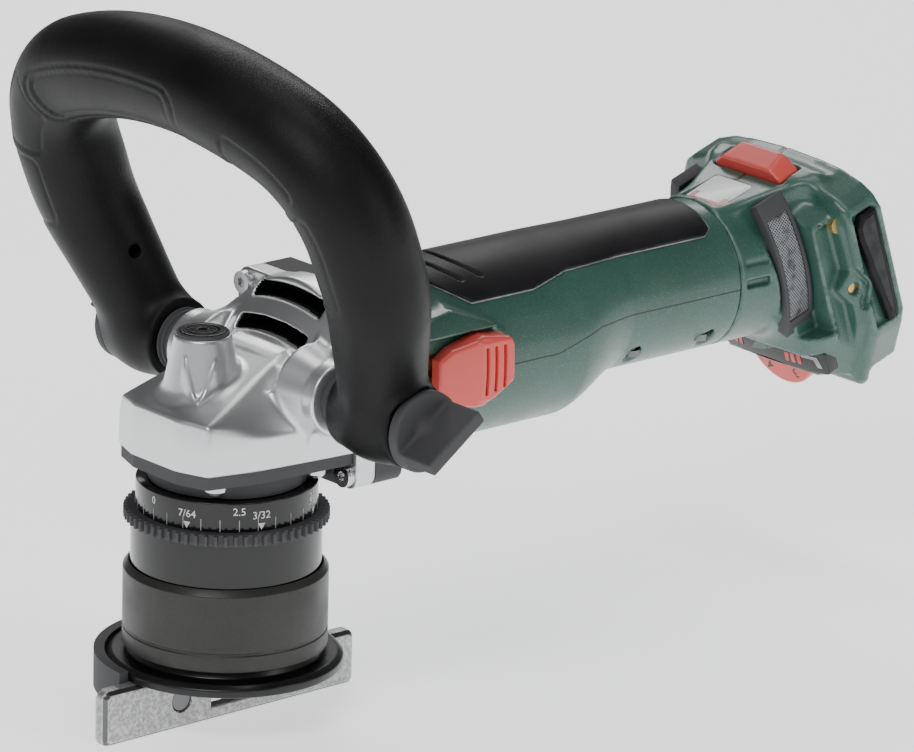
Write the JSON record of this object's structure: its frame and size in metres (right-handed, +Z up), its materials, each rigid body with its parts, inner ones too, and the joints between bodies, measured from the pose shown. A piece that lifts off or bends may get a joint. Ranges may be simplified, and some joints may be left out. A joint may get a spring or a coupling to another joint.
{
  "type": "cordless edge milling machine",
  "caption": "Hand-held cordless machine with a bail handle, a bevel gear head, a depth ring, a guide plate with a fence, and a turning battery foot.",
  "frame": {"origin": "where the spindle axis meets the underside of the round guide plate", "axes": "+X back along the grip to the battery foot, +Z up the spindle, -Y the side with the slide switch"},
  "size_m": [0.2981, 0.1738, 0.2189],
  "materials": {
    "cast_housing": "bead-blasted light grey casting",
    "black_plastic": "black moulded plastic, light texture",
    "black_satin": "smooth black, half gloss",
    "steel_screw": "zinc-plated steel",
    "bearing_steel": "ground bearing steel",
    "bronze": "sintered bronze",
    "sleeve_metal": "dark grey-olive satin coat",
    "tube_metal": "dark turned steel",
    "green_plastic": "dark green plastic with fine metal fleck",
    "rubber_grip": "soft black rubber, fine grain",
    "motor_winding": "lacquered stator and windings",
    "board_green": "circuit board",
    "gear_steel": "hardened gear steel",
    "cutter_steel": "ground tool steel",
    "carbide": "gold-coated carbide",
    "spring_steel": "spring wire",
    "fence_steel": "shot-blasted plate with dark bevel",
    "red_plastic": "red moulded plastic",
    "filter_frame": "black moulded frame",
    "filter_mesh": "fine woven wire mesh",
    "label_film": "pale printed film, plain",
    "brass_screw": "yellow passivated steel",
    "core_metal": "cast aluminium core",
    "dark_screw": "blackened steel"
  },
  "bodies": {
    "tool_body": {"gear_housing": "cast_housing", "bearing_plate": "black_plastic", "plate_screws": "steel_screw", "flange_screws": "steel_screw", "spindle_bearing": "bearing_steel", "top_bush": "bronze", "guide_tube": "tube_metal", "air_ring": "black_plastic", "near_hub": "black_plastic", "far_hub": "black_plastic", "motor_bearings": "bearing_steel", "stator": "motor_winding", "upper_shell": "green_plastic", "lower_shell": "green_plastic", "softgrip": "rubber_grip", "shell_screws": "steel_screw", "switch_module": "black_plastic", "controller": "board_green", "swivel_ring": "black_plastic"},
    "spindle_group": {"spindle": "bearing_steel", "bevel_gear": "gear_steel", "cutter_head": "cutter_steel", "cutter_inserts": "carbide", "insert_screws": "dark_screw"},
    "motor_group": {"rotor": "gear_steel", "motor_shaft": "bearing_steel", "cooling_fan": "black_plastic", "bevel_pinion": "gear_steel"},
    "lock_group": {"lock_button": "black_satin", "lock_spring": "spring_steel"},
    "ring_group": {"scale_drum": "black_satin", "knurled_ring": "black_satin", "ring_sleeve": "black_satin"},
    "guide_group": {"guide_sleeve": "sleeve_metal", "guide_plate": "black_satin", "fence_carrier": "fence_steel", "fence_rail": "fence_steel", "fence_screws": "dark_screw"},
    "bail_group": {"bail_handle": "rubber_grip", "bail_core": "core_metal"},
    "near_lever_group": {"near_lever": "black_plastic"},
    "far_lever_group": {"far_lever": "black_plastic"},
    "switch_group": {"slide_switch": "red_plastic", "switch_link": "black_plastic"},
    "foot_group": {"left_foot_shell": "green_plastic", "right_foot_shell": "green_plastic", "foot_screws": "brass_screw", "battery_rails": "black_plastic", "terminal_block": "black_plastic", "terminal_blades": "brass_screw", "side_bumpers": "rubber_grip", "label_plate": "label_film", "indicator_strip": "black_satin"},
    "release_group": {"release_button": "red_plastic", "release_spring": "spring_steel"},
    "dial_group": {"speed_dial": "red_plastic"},
    "near_filter_group": {"near_filter_frame": "filter_frame", "near_filter_mesh": "filter_mesh"},
    "far_filter_group": {"far_filter_frame": "filter_frame", "far_filter_mesh": "filter_mesh"}
  },
  "joints": [
    {"name": "spindle_spin", "type": "hinge", "parent": "tool_body", "child": "spindle_group", "pos_m": [0, 0, 0.04], "axis": [0, 0, 1], "continuous": true},
    {"name": "motor_spin", "type": "hinge", "parent": "tool_body", "child": "motor_group", "pos_m": [0.06, 0, 0.084], "axis": [1, 0, 0], "continuous": true},
    {"name": "lock_press", "type": "slide", "parent": "tool_body", "child": "lock_group", "axis": [0, 0, -1], "range_m": [0, 0.003], "stiffness_N_per_m": 900, "springref_m": -0.002, "deforming": ["lock_spring"]},
    {"name": "ring_turn", "type": "hinge", "parent": "tool_body", "child": "ring_group", "pos_m": [0, 0, 0.04], "axis": [0, 0, 1], "range_deg": [0, 300]},
    {"name": "guide_slide", "type": "slide", "parent": "tool_body", "child": "guide_group", "axis": [0, 0, 1], "range_m": [0, 0.003]},
    {"name": "bail_swivel", "type": "hinge", "parent": "tool_body", "child": "bail_group", "pos_m": [0.015, 0, 0.088], "axis": [0, 1, 0], "range_deg": [-60, 75]},
    {"name": "near_lever_turn", "type": "hinge", "parent": "bail_group", "child": "near_lever_group", "pos_m": [0.015, -0.06, 0.088], "axis": [0, 1, 0], "range_deg": [0, 120]},
    {"name": "far_lever_turn", "type": "hinge", "parent": "bail_group", "child": "far_lever_group", "pos_m": [0.015, 0.06, 0.088], "axis": [0, 1, 0], "range_deg": [-120, 0]},
    {"name": "switch_slide", "type": "slide", "parent": "tool_body", "child": "switch_group", "axis": [-1, 0, 0], "range_m": [0, 0.008]},
    {"name": "foot_turn", "type": "hinge", "parent": "tool_body", "child": "foot_group", "pos_m": [0.2, 0, 0.0889], "axis": [1, 0, 0], "range_deg": [-180, 90]},
    {"name": "release_press", "type": "slide", "parent": "foot_group", "child": "release_group", "axis": [0.3206, 0, -0.9472], "range_m": [0, 0.0025], "stiffness_N_per_m": 1200, "springref_m": -0.0015, "deforming": ["release_spring"]},
    {"name": "dial_turn", "type": "hinge", "parent": "foot_group", "child": "dial_group", "pos_m": [0.22777, 0, 0.05934], "axis": [0.9472, 0, 0.3206], "range_deg": [0, 270]},
    {"name": "near_filter_pull", "type": "slide", "parent": "foot_group", "child": "near_filter_group", "axis": [0, -1, 0], "range_m": [0, 0.02]},
    {"name": "far_filter_pull", "type": "slide", "parent": "foot_group", "child": "far_filter_group", "axis": [0, 1, 0], "range_m": [0, 0.02]}
  ],
  "couplings": [
    {"joint": "motor_spin", "follows": "spindle_spin", "ratio": 3},
    {"joint": "guide_slide", "follows": "ring_turn", "m_per_rad": 0.00057296}
  ]
}
